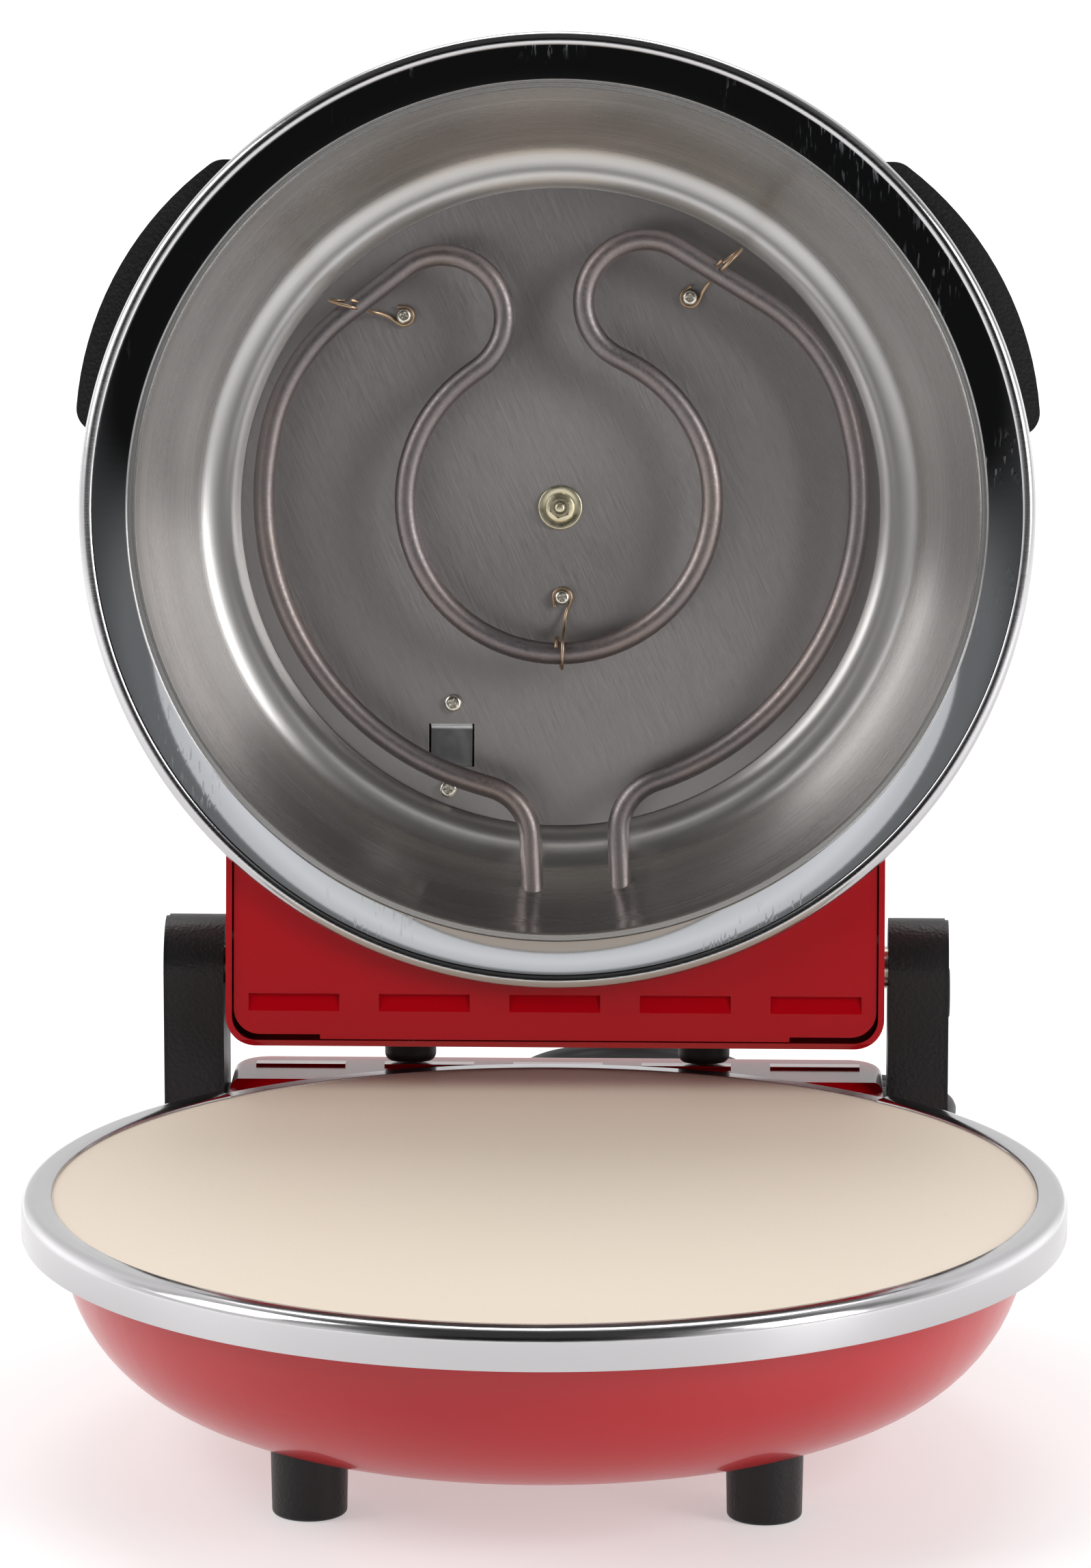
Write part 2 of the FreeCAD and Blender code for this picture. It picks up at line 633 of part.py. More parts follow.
def lid_box_shell():
    """Folded housing behind the dome, open below, with a hem round its lower edge."""
    shell = lid_box_solid(0.0).cut(lid_box_solid(SHEET))
    hem_top = LID_BOX_BOTTOM + 2.2
    hem = lid_box_solid(SHEET).cut(lid_box_solid(2.0))
    shell = shell.fuse(hem.common(block(-200, 200, 90, 190, LID_BOX_BOTTOM - 3, hem_top)))
    shell = shell.common(block(-200, 200, 90, 190, LID_BOX_BOTTOM, LID_BOX_TOP))
    shell = shell.cut(block(-200, 200, 160, 180, 80, 97).cut(axle(-200, 200, SWEEP_R)))
    shell = shell.cut(dome_form()).cut(drum(0, 0, LID_Z, LID_Z + 30, DOME_R)).cut(hoop_form())
    shell = shell.cut(axle(-BOX_HALF - 1, BOX_HALF + 1, PIN_R + RUN_FIT))
    for x in BUMPER_X:
        shell = shell.cut(Part.makeCylinder(2.0, 6, V(x, BOX_BACK - 3, BUMPER_Z), V(0, 1, 0)))
    return max(shell.removeSplitter().Solids, key=lambda solid: solid.Volume)


def lid_box_cover():
    """Inset cover with five pressed louvres and a tongue that fills the rear gap."""
    low, high, half = LID_BOX_BOTTOM + 0.8, LID_BOX_BOTTOM + 0.8 + SHEET, BOX_HALF - 2.6
    cover = block(-half, half, 100, 173.2, low, high)
    cover = rounded(cover, 8.5, lambda e: upright(e, 150))
    cover = cover.fuse(block(-77.5, 77.5, 150, 174.8, low, high)).removeSplitter()
    step, end = 159.7, 165.5
    for x in louvre_centres():
        left, right = x - LOUVRE_LONG / 2, x + LOUVRE_LONG / 2
        cover = cover.fuse(side_prism(
            [(step, high), (step, high + 1.2), (end + 1, high)], left - 0.8, right + 0.8))
        cover = cover.cut(side_prism(
            [(step, low - 1), (step, low + 1.3), (end, low), (end, low - 1)], left, right))
    return cover.cut(drum(0, 0, LID_Z, LID_Z + 30, LID_R + 0.3))


BUMPER_X = (-49.5, 49.0)
BUMPER_Z = 136.5
BUMPER_R, BUMPER_HIGH = 8.6, 8.9


def bumper(x):
    """Rubber stop on the lid box's rear wall, with a rounded end and a recess for its screw."""
    back = BOX_BACK + 0.2
    pad = turned(
        (0, 0), (BUMPER_R, 0), (BUMPER_R, BUMPER_HIGH - 3),
        (arc_point((BUMPER_R - 3, BUMPER_HIGH - 3), 3, 45), (BUMPER_R - 3, BUMPER_HIGH)),
        (3.6, BUMPER_HIGH), (3.6, 3.5), (0, 3.5),
    )
    pad = pad.cut(drum(0, 0, -1, 5, 2.0))
    pad.rotate(V(0, 0, 0), V(1, 0, 0), -90)
    pad.translate(V(x, back, BUMPER_Z))
    return pad


def bumper_screws():
    screws = []
    for x in BUMPER_X:
        shank = Part.makeCylinder(2.0, 9, V(x, BOX_BACK - 5.3, BUMPER_Z), V(0, 1, 0))
        head = Part.makeCylinder(3.4, 2.0, V(x, BOX_BACK + 3.7, BUMPER_Z), V(0, 1, 0))
        screws.append(shank.fuse(head))
    return Part.makeCompound(screws)


def hinge_bush():
    """Nylon bush inside the right wall of the lid box; it turns on the hinge pin."""
    bush = axle(BOX_HALF - 10, BOX_HALF - SHEET, 11.0)
    return bush.cut(axle(90, 120, PIN_R + RUN_FIT))


EAR_X, EAR_Y, EAR_R = 48.0, -25.0, 110.8
GRIP_BACK_Y, FINGER_GAP, FINGER_HALF = -78.0, 19.0, 58.0


def handle_band():
    """Moulded handle: an ear on each side of the dome and a grip that bridges between them.

    The grip stands off the dome, which leaves the finger gap. The outer skin is one surface of
    revolution, rounder than the dome, so the band is thickest over the ears.
    """
    z = LID_Z
    front = arc_point((EAR_X, EAR_Y), EAR_R, -54.4)
    corners = [
        (0, GRIP_BACK_Y), (66, GRIP_BACK_Y), (134, EAR_Y), (EAR_X + EAR_R, EAR_Y), front, (0, front[1])
    ]
    low = [V(x, y, z + 10) for x, y in corners]
    half = Part.Face(Part.Wire([
        Part.makeLine(low[0], low[1]),
        Part.Arc(low[1], V(111, -63, z + 10), low[2]).toShape(),
        Part.makeLine(low[2], low[3]),
        Part.Arc(low[3], V(*arc_point((EAR_X, EAR_Y), EAR_R, -27), z + 10), low[4]).toShape(),
        Part.makeLine(low[4], low[5]),
        Part.makeLine(low[5], low[0]),
    ])).extrude(V(0, 0, 110))
    band = half.fuse(mirrored(half)).removeSplitter()
    band = rounded(band, 8.0, lambda e: upright(e) and abs(e.Vertexes[0].X) > 100)
    edge_r, edge_x, edge_z, top = 62.0, 105.0, z + 18.0, z + 110.0
    rise = top - edge_z
    crown_r = (edge_x**2 + rise**2 - edge_r**2) / (2 * (rise - edge_r))
    crown_z = top - crown_r
    slope = math.degrees(math.atan2(edge_z - crown_z, edge_x))
    skin = turned(
        (0, z), (edge_x + edge_r, z), (edge_x + edge_r, edge_z),
        (arc_point((edge_x, edge_z), edge_r, slope / 2), arc_point((edge_x, edge_z), edge_r, slope)),
        (arc_point((0, crown_z), crown_r, (slope + 90) / 2), (0, top)),
    )
    fingers = dome_form(-FINGER_GAP).common(block(-FINGER_HALF, FINGER_HALF, -130, -60, z + 40, z + 110))
    band = band.common(skin).cut(dome_form()).cut(fingers)
    for x, y in HANDLE_SCREWS:
        band = band.cut(drum(x, y, z + 40, z + 64, 2.0))
    return max(band.Solids, key=lambda solid: solid.Volume)


def handle_screws():
    screws = []
    for x, y in HANDLE_SCREWS:
        screws.append(drum(x, y, LID_Z + 47.5, LID_Z + 64, 2.0).fuse(
            drum(x, y, LID_Z + 45.5, LID_Z + 47.5, 3.6)))
    return Part.makeCompound(screws)


def control_panel():
    """Black moulded seat on the dome for the thermostat dial and the two lamps."""
    z, half = LID_Z, 19.5
    seat = block(THERMOSTAT_X - half, 52, THERMOSTAT_Y - half, THERMOSTAT_Y + half, z + 40, z + 71.5)
    seat = rounded(seat, 19.0, lambda e: upright(e))
    seat = rounded(seat, 1.5, lambda e: flat_at(e, z + 71.5))
    seat = seat.cut(dome_form())
    seat = seat.cut(drum(THERMOSTAT_X, THERMOSTAT_Y, z + 40, z + 80, 3.0 + RUN_FIT))
    for x in LAMP_X:
        seat = seat.cut(drum(x, THERMOSTAT_Y, z + 40, z + 80, 3.5))
    return seat


def pilot_lamp(x):
    z = LID_Z
    lens = drum(x, THERMOSTAT_Y, z + 71.5, z + 73.5, 5.0)
    lens = rounded(lens, 1.5, lambda e: flat_at(e, z + 73.5) and e.Curve.TypeId == "Part::GeomCircle")
    return lens.fuse(drum(x, THERMOSTAT_Y, z + 60, z + 71.5, 3.5))


# ---- thermostat dial ----
def thermostat_knob():
    """Dial with a knurled skirt and a raised grip bar."""
    z, low = LID_Z, LID_Z + 72.0
    skirt = turned((0, low), (17.0, low), (16.4, low + 7.5), (15.2, low + 8.5), (0, low + 8.5))
    for n in range(24):
        a = 2 * PI * n / 24
        skirt = skirt.cut(drum(17.6 * math.cos(a), 17.6 * math.sin(a), low - 1, low + 6.5, 1.3))
    grip = rounded(block(-4, 4, -14.5, 14.5, low + 8, low + 17), 3.9, lambda e: upright(e))
    grip = rounded(grip, 1.2, lambda e: flat_at(e, low + 17))
    knob = skirt.fuse(grip)
    knob.translate(V(THERMOSTAT_X, THERMOSTAT_Y, 0))
    return knob.cut(drum(THERMOSTAT_X, THERMOSTAT_Y, low - 1, low + 7, 3.0))


def thermostat_shaft():
    return drum(THERMOSTAT_X, THERMOSTAT_Y, LID_Z + 64.2, LID_Z + 79.0, 3.0)


# ---- assembly ----
BASE = {
    "base_pan": base_pan, "trim_ring": trim_ring, "pizza_stone": pizza_stone,
    "reflector_tray": reflector_tray, "lower_element": lower_element,
    "lower_element_clips": lower_element_clips, "base_rear_box": base_rear_box,
    "base_box_floor": base_box_floor, "terminal_block": terminal_block,
    "hinge_arm_right": hinge_arm, "hinge_arm_left": lambda: mirrored(hinge_arm()),
    "arm_cap_right": arm_cap, "arm_cap_left": lambda: mirrored(arm_cap()),
    "arm_screws_right": arm_screws, "arm_screws_left": lambda: mirrored(arm_screws()),
    "hinge_pin_right": hinge_pin, "hinge_pin_left": lambda: mirrored(hinge_pin()),
    "foot_front_left": lambda: foot(-FOOT_X, -FOOT_Y),
    "foot_front_right": lambda: foot(FOOT_X, -FOOT_Y),
    "foot_rear_left": lambda: foot(-FOOT_X, FOOT_Y),
    "foot_rear_right": lambda: foot(FOOT_X, FOOT_Y),
    "foot_screws": foot_screws, "cord_gland": cord_gland, "cord_lead": cord_lead,
    "cord_coil": cord_coil, "mains_plug": mains_plug, "plug_pins": plug_pins,
}
LID = {
    "lid_dome": lid_dome, "lid_bowl": lid_bowl, "lid_plate": lid_plate, "lid_rim": lid_rim,
    "upper_element": upper_element, "element_clips": element_clips,
    "clip_screws": lambda: pan_screws(CLIP_SCREWS, LID_Z + DISC_Z - 1.8, 6.0),
    "centre_stud": centre_stud, "penny_washer": penny_washer,
    "thermostat_strip": thermostat_strip, "thermostat_body": thermostat_body,
    "thermostat_screws": lambda: pan_screws(THERMOSTAT_SCREWS, LID_Z + DISC_Z, 3.0),
    "lid_box_shell": lid_box_shell, "lid_box_cover": lid_box_cover,
    "bumper_left": lambda: bumper(BUMPER_X[0]), "bumper_right": lambda: bumper(BUMPER_X[1]),
    "bumper_screws": bumper_screws,
    "hinge_bush_right": hinge_bush, "hinge_bush_left": lambda: mirrored(hinge_bush()),
    "handle_band": handle_band, "handle_screws": handle_screws, "control_panel": control_panel,
    "pilot_lamp_power": lambda: pilot_lamp(LAMP_X[0]),
    "pilot_lamp_heat": lambda: pilot_lamp(LAMP_X[1]),
    "thermostat_knob": thermostat_knob, "thermostat_shaft": thermostat_shaft,
}

os.makedirs("parts", exist_ok=True)
for group in (BASE, LID):
    for name, make in group.items():
        shape = make()
        if group is LID:
            shape.rotate(V(0, HINGE_Y, HINGE_Z), V(1, 0, 0), -OPEN_ANGLE)
        shape.translate(V(0, -FOOTPRINT_Y, 0))
        shape.exportStep("parts/" + name + ".step")
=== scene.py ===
import json
import math
from math import cos, pi, radians, sin

import bmesh
import bpy
from mathutils import Matrix, Vector


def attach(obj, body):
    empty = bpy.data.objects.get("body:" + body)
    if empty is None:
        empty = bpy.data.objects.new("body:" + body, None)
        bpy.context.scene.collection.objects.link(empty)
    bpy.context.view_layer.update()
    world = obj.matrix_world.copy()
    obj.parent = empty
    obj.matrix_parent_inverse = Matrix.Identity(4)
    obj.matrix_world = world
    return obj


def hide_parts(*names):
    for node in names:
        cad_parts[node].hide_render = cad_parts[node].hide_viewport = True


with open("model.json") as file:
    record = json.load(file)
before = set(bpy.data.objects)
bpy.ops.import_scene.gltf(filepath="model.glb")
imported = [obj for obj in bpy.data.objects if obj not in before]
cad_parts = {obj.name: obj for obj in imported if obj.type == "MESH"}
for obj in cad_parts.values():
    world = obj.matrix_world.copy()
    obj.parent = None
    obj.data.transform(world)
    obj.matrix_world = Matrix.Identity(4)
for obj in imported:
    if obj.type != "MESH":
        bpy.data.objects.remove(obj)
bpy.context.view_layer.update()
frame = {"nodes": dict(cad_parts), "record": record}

# The row frame is in metres. The base is described in the shut oven's axes, and the lid in its
# own: origin in the middle of the rim plane, local z into the lid. It stands open, turned about
# the hinge. Outlines of pieces are in millimetres.
MM = 0.001
FOOTPRINT_Y = 0.04231
HINGE_Y, HINGE_Z = 0.152, 0.1175
RIM_Z = 0.083
OPEN = radians(98.7)
HINGE = Vector((0, HINGE_Y - FOOTPRINT_Y, HINGE_Z))
LID_TURN = Matrix.Rotation(-OPEN, 3, "X")
LID_CENTRE = HINGE + LID_TURN @ Vector((0, -HINGE_Y, RIM_Z - HINGE_Z))


def on_base(x, y, z):
    """Row-frame place of a point given in the base's axes, in millimetres."""
    return Vector((x * MM, y * MM - FOOTPRINT_Y, z * MM))


def on_lid(x, y, z):
    """Row-frame place of a point given in the lid's axes, in millimetres."""
    return LID_CENTRE + LID_TURN @ Vector((x * MM, y * MM, z * MM))


def link(obj):
    bpy.context.scene.collection.objects.link(obj)
    return obj


# ---- camera ----
SENSOR_HEIGHT = 36.0
LENS = 185.1162
CAMERA_PLACE = (0.068182, -2.461159 - FOOTPRINT_Y, 0.745094)
CAMERA_TILT, CAMERA_PAN = 0.21316, 0.02754


def make_camera():
    """Long lens in front of the oven and above it, looking a little down."""
    data = bpy.data.cameras.new("camera")
    data.sensor_fit = "VERTICAL"
    data.sensor_height = SENSOR_HEIGHT
    data.lens = LENS
    data.clip_end = 50.0
    camera = link(bpy.data.objects.new("camera", data))
    camera.location = CAMERA_PLACE
    camera.rotation_euler = (pi / 2 - CAMERA_TILT, 0, CAMERA_PAN)
    bpy.context.scene.camera = camera


make_camera()


# ---- round tubes along curves ----
def new_tube(name, rounding, steps):
    """Empty curve whose runs are round tubes, each as thick as its points say."""
    curve = bpy.data.curves.new(name, "CURVE")
    curve.dimensions = "3D"
    curve.bevel_depth = 1.0
    curve.bevel_resolution = rounding
    curve.resolution_u = steps
    curve.use_fill_caps = True
    return curve


def add_run(curve, places, radius):
    """One smooth run of tube, steered by row-frame control points."""
    spline = curve.splines.new("NURBS")
    spline.points.add(len(places) - 1)
    for point, spot in zip(spline.points, places):
        point.co = (*spot, 1)
        point.radius = radius
    spline.order_u = 3
    spline.use_endpoint_u = True


# ---- mains lead ----
CORD_R = 3.5 * MM
COIL_X, COIL_Y = 97.0, 378.0
PER_TURN, LEFT_OFF = 16, 3  # control points in a turn, and those that the last turn goes without
CROSSOVER = 11  # the point of a turn after which the lead moves over to the next turn
LAY, UPPER_LAY = 3.6, 10.7
TURN_RADII = (38.9, 31.1, 31.1, 38.9)
TURN_HEIGHTS = (LAY, LAY, UPPER_LAY, UPPER_LAY)


def cord_points():
    """Route of the lead in the base's axes: the free stretch, the coil's turns, the plug's end."""
    points = [
        (-12, 199, 58), (-12, 233, 54), (-13, 266, 32), (-16, 306, 9), (-20, 352, LAY),
        (-23, 402, LAY), (-21, 465, LAY), (4.4, 487.7, LAY), (38.4, 486.5, LAY), (62, 462, LAY),
        (60.5, 430, LAY), (60, 402, LAY),
    ]
    turns = len(TURN_RADII)
    for n in range(PER_TURN * turns - LEFT_OFF):
        turn, part = divmod(n, PER_TURN)
        ease = max(0.0, (part - CROSSOVER) / (PER_TURN - CROSSOVER))
        after = min(turn + 1, turns - 1)
        radius = TURN_RADII[turn] + (TURN_RADII[after] - TURN_RADII[turn]) * ease
        height = TURN_HEIGHTS[turn] + (TURN_HEIGHTS[after] - TURN_HEIGHTS[turn]) * ease
        angle = pi + 2 * pi * part / PER_TURN
        radius /= cos(pi / PER_TURN) ** 0.5  # the curve runs inside its control points
        points.append((COIL_X + radius * cos(angle), COIL_Y + radius * sin(angle), height))
    points += [(68, 403, 15.5), (62.5, 388, 18.6), (62, 366, 18.6)]
    return points


def make_cord():
    curve = new_tube("mains_lead", 5, 10)
    add_run(curve, [on_base(*point) for point in cord_points()], CORD_R)
    return link(bpy.data.objects.new("mains_lead", curve))


cord = make_cord()
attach(cord, "base")
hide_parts("cord_lead", "cord_coil")


# ---- smooth metalwork that stands for the CAD's turned and small pieces ----
def arc_line(start, middle, end, steps=12):
    """Points of the arc through three points, without its first point."""
    (ax, ay), (bx, by), (cx, cy) = start, middle, end
    d = 2 * (ax * (by - cy) + bx * (cy - ay) + cx * (ay - by))
    a2, b2, c2 = ax * ax + ay * ay, bx * bx + by * by, cx * cx + cy * cy
    ux = (a2 * (by - cy) + b2 * (cy - ay) + c2 * (ay - by)) / d
    uy = (a2 * (cx - bx) + b2 * (ax - cx) + c2 * (bx - ax)) / d
    radius = math.hypot(ax - ux, ay - uy)
    first = math.atan2(ay - uy, ax - ux)
    sweep = (math.atan2(cy - uy, cx - ux) - first + pi) % (2 * pi) - pi
    angles = [first + sweep * n / steps for n in range(1, steps + 1)]
    return [(ux + radius * cos(a), uy + radius * sin(a)) for a in angles]


def mesh_piece(name, verts, faces, body, replaced=(), slot=None):
    """Smooth-shaded object from row-frame points, riding on a body."""
    mesh = bpy.data.meshes.new(name)
    mesh.from_pydata([tuple(v) for v in verts], [], faces)
    work = bmesh.new()
    work.from_mesh(mesh)
    bmesh.ops.remove_doubles(work, verts=work.verts, dist=1e-7)
    bmesh.ops.recalc_face_normals(work, faces=work.faces)
    work.to_mesh(mesh)
    work.free()
    for polygon in mesh.polygons:
        polygon.use_smooth = True
    mesh.set_sharp_from_angle(angle=radians(40))
    piece = link(bpy.data.objects.new(name, mesh))
    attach(piece, body)
    if replaced:
        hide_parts(*replaced)
    return piece


def grid_faces(rows, columns, base=0, closed=False):
    """Quads between closed rows of vertices, the last row joined to the first if closed."""
    faces = []
    for n in range(rows if closed else rows - 1):
        m = (n + 1) % rows
        for k in range(columns):
            j = (k + 1) % columns
            corners = (n * columns + k, n * columns + j, m * columns + j, m * columns + k)
            faces.append(tuple(base + i for i in corners))
    return faces


def append_mesh(verts, faces, more_verts, more_faces):
    """Adds a second set of vertices and faces to the first."""
    faces += [tuple(len(verts) + k for k in face) for face in more_faces]
    verts += more_verts


def lathe_mesh(line, at, start=0.0, sweep=2 * pi, count=288):
    """Vertices and faces of a (radius, z) line turned about the local z.

    A whole turn closes on itself; a part turn gets its two ends capped.
    """
    whole = abs(sweep - 2 * pi) < 1e-9
    rows = count if whole else count + 1
    verts = []
    for n in range(rows):
        angle = start + sweep * n / count
        verts += [at(r * cos(angle), r * sin(angle), z) for r, z in line]
    size = len(line)
    faces = []
    for n in range(count):
        here, there = n * size, ((n + 1) % rows) * size
        faces += [(here + k, here + k + 1, there + k + 1, there + k) for k in range(size - 1)]
    if not whole:
        faces += [tuple(range(size)), tuple(range(count * size, (count + 1) * size))]
    return verts, faces


BOX_HALF_WIDTH = 111.7
RING_MIDDLE_R = 163


def make_trim_ring():
    """Polished ring round the stone; at the back it is cut down to a strip under the boxes."""
    front = [(164, 78.3), (164, 69.6), (164.9, 69.6), (165, 70), (165, 78.3)]
    front += arc_line((165, 78.3), (163.828, 81.128), (161, 82.3))
    front += [(158.5, 82.18), (156.1, 82.02), (155.45, 81.7), (155.3, 81.3), (155.4, 81.05)]
    front += [(161, 81.2)]
    strip = [(155.3, 81.05), (155.3, 81.35), (155.45, 81.5), (160.1, 81.5), (160.25, 81.3)]
    strip += [(160.25, 81.1)]
    half = math.asin(BOX_HALF_WIDTH / RING_MIDDLE_R)
    verts, faces = lathe_mesh(front, on_base, pi / 2 + half, 2 * pi - 2 * half, count=256)
    append_mesh(verts, faces, *lathe_mesh(strip, on_base, pi / 2 - half, 2 * half, count=64))
    return mesh_piece("trim_ring_polished", verts, faces, "base", ["trim_ring"], "polished_steel")


def make_lid_rim():
    """Rolled ring round the lid's edge."""
    line = [(152.9, 3.15), (152.9, 1.15), (153.1, 1.0)]
    line += arc_line((153.1, 1.0), (156.1, 1.3), (157.15, 4.3))
    line += [(157.2, 5.2), (157.2, 9.3), (157.0, 9.6), (155.1, 9.6), (155.1, 3.15), (152.9, 3.15)]
    mesh = lathe_mesh(line, on_lid)
    return mesh_piece("lid_rim_polished", *mesh, "lid", ["lid_rim"], "polished_steel")


def make_bowl():
    """Drawn bowl with its rolled bead, hollow wall and ridge, and the ledge behind the disc."""
    line = [(154.9, 4.0), (154.9, 3.2), (141.9, 3.2), (141.6, 3.1)]
    line += arc_line((141.6, 3.1), (140.2, 1.6), (138.8, 3.2), 16)
    line += arc_line((138.8, 3.2), (133.2, 25.6), (120.6, 44.6), 28)
    line += arc_line((120.6, 44.6), (117.4, 46.9), (112.4, 47.7), 14)
    line += arc_line((112.4, 47.7), (108.6, 49.4), (106.9, 53.7), 12)
    line += [(106.9, 54.5), (98.0, 54.5), (98.0, 55.3), (107.7, 55.3), (109.3, 50.4), (112.6, 48.5)]
    line += [(117.8, 47.7), (121.2, 45.2), (134.0, 25.9), (139.6, 4.0), (154.9, 4.0)]
    mesh = lathe_mesh(line, on_lid, count=320)
    return mesh_piece("bowl_drawn", *mesh, "lid", ["lid_bowl"], "brushed_disc")


ELEMENT_Z = 38.5
ELEMENT_SHIFT, ELEMENT_TWIST = 0.8, radians(-2.5)
LEG_X, LEG_Y = 14.7, 126
WALL_Y, WALL_SLOPE = 126.9, 0.62
COLLAR_R, LIP_R = 3.75, 0.4


def make_leg_collars():
    """Rolled lips round the two holes where the heating tube enters the bowl's wall."""
    around, lip = 40, 8
    verts, faces = [], []
    for side in (-1, 1):
        x = ELEMENT_SHIFT + side * LEG_X * cos(ELEMENT_TWIST) - LEG_Y * sin(ELEMENT_TWIST)
        faces += grid_faces(around, lip, len(verts), closed=True)
        for n in range(around):
            a = 2 * pi * n / around
            for k in range(lip):
                b = 2 * pi * k / lip
                r = COLLAR_R + LIP_R * cos(b)
                rise = r * sin(a)
                y = WALL_Y - rise * WALL_SLOPE + LIP_R * sin(b)
                verts.append(on_lid(x + r * cos(a), y, ELEMENT_Z + rise))
    return mesh_piece("leg_collars", verts, faces, "lid", slot="polished_steel")


HEAD_HIGH = 2.0
HEAD_RINGS, HEAD_AROUND = 34, 120
FLAT_PART = 0.55  # part of the head's radius that is flat on top
SLOT_HALF_WIDTH, SLOT_REACH, PIT_R = 0.16, 0.60, 0.34  # of the cross recess, as parts of the radius
RECESS_DEPTH = 0.42  # as a part of the head's height


def recess_depth(u, v, radius):
    """How deep the cross recess is at a place on a head."""
    near, far = sorted((abs(u), abs(v)))
    across = min(1.0, max(0.0, (SLOT_HALF_WIDTH * radius - near) / 0.16))
    along = min(1.0, max(0.0, (SLOT_REACH * radius - far) / 0.35))
    pit = max(0.0, 1 - math.hypot(u, v) / (PIT_R * radius))
    return max(across * along, min(1.0, 1.6 * pit)) * RECESS_DEPTH * HEAD_HIGH


def head_mesh(x, y, seat, radius, turn):
    """Pan head with a cross recess, seen from the room, as vertices and faces."""
    angles = [2 * pi * k / HEAD_AROUND for k in range(HEAD_AROUND)]
    verts = []
    for n in range(HEAD_RINGS + 1):
        r = radius * n / HEAD_RINGS
        edge = max(0.0, (r / radius - FLAT_PART) / (1 - FLAT_PART))
        fall = HEAD_HIGH * 0.52 * (1 - math.sqrt(max(0.0, 1 - edge * edge)))
        top = seat - HEAD_HIGH + fall
        for a in angles:
            depth = recess_depth(r * cos(a), r * sin(a), radius)
            verts.append(on_lid(x + r * cos(a + turn), y + r * sin(a + turn), top + depth))
    verts += [on_lid(x + radius * cos(a + turn), y + radius * sin(a + turn), seat) for a in angles]
    return verts, grid_faces(HEAD_RINGS + 2, HEAD_AROUND)


def make_screw_heads(name, places, seat, radius, replaced):
    verts, faces = [], []
    for (x, y), turn in places:
        append_mesh(verts, faces, *head_mesh(x, y, seat, radius, turn))
    return mesh_piece(name, verts, faces, "lid", [replaced], "screw_steel")


NUT_HALF_FLAT, NUT_TURN = 3.2, 0.2
NUT_TOP, NUT_SEAT = 49.9, 52.5
THREAD_START, THREAD_PITCH, THREAD_TURNS = 47.3, 0.5, 8


def make_centre_nut():
    """Chamfered hexagon nut on a threaded stud with a rounded end."""
    around, verts = 96, []
    round_levels = [(1.9, NUT_TOP), (2.2, NUT_TOP - 0.3), (3.05, NUT_TOP - 0.3)]
    angles = [2 * pi * k / around for k in range(around)]
    for radius, z in round_levels:
        verts += [on_lid(radius * cos(a + NUT_TURN), radius * sin(a + NUT_TURN), z) for a in angles]
    for z in (NUT_TOP, NUT_SEAT):
        for a in angles:
            r = NUT_HALF_FLAT / cos((a + pi / 6) % (pi / 3) - pi / 6)
            chamfer = (r - NUT_HALF_FLAT) * 0.9 if z == NUT_TOP else 0.0
            verts.append(on_lid(r * cos(a + NUT_TURN), r * sin(a + NUT_TURN), z + chamfer))
    faces = grid_faces(len(round_levels) + 2, around)
    stud = [(0, 46.6), (1.1, 46.62), (1.5, 46.8), (1.65, 47.1)]
    for n in range(THREAD_TURNS):
        crest = THREAD_START + n * THREAD_PITCH
        stud += [(1.88, crest), (1.6, crest + THREAD_PITCH / 2)]
    append_mesh(verts, faces, *lathe_mesh(stud, on_lid, count=64))
    return mesh_piece("centre_nut", verts, faces, "lid", ["centre_stud"], "zinc_passivated")


def make_washer():
    """Wide flat washer with a fine ridge and a rounded edge."""
    line = [(1.9, 52.5), (4.55, 52.5), (4.7, 52.62), (4.85, 52.5), (6.9, 52.5)]
    line += arc_line((6.9, 52.5), (7.26, 52.64), (7.4, 53.0), 6)
    line += [(7.4, 53.7), (1.9, 53.7), (1.9, 52.5)]
    mesh = lathe_mesh(line, on_lid, count=96)
    return mesh_piece("washer_turned", *mesh, "lid", ["penny_washer"], "zinc_passivated")


# Each clip: its screw's place, the screw's turn, where the hook holds the tube, and its hand.
CLIPS = [
    ((-52.4, -63.7), 0.35, (-71.5, -67.5), 1),
    ((43.0, -70.2), 0.1, (56.4, -82.6), -1),
    ((0.8, 30.1), 0.6, (1.2, 48.0), 1),
]
CLIP_SEAT, CLIP_HEAD_R = 51.9, 2.5
THERMOSTAT_SCREWS = [((-35.7, 65.8), 0.5), ((-37.2, 94.5), 0.2)]
THERMOSTAT_SEAT, THERMOSTAT_HEAD_R = 53.7, 2.95
WIRE_R = 0.58 * MM
EYE_R, EYE_Z = 3.15, 52.4


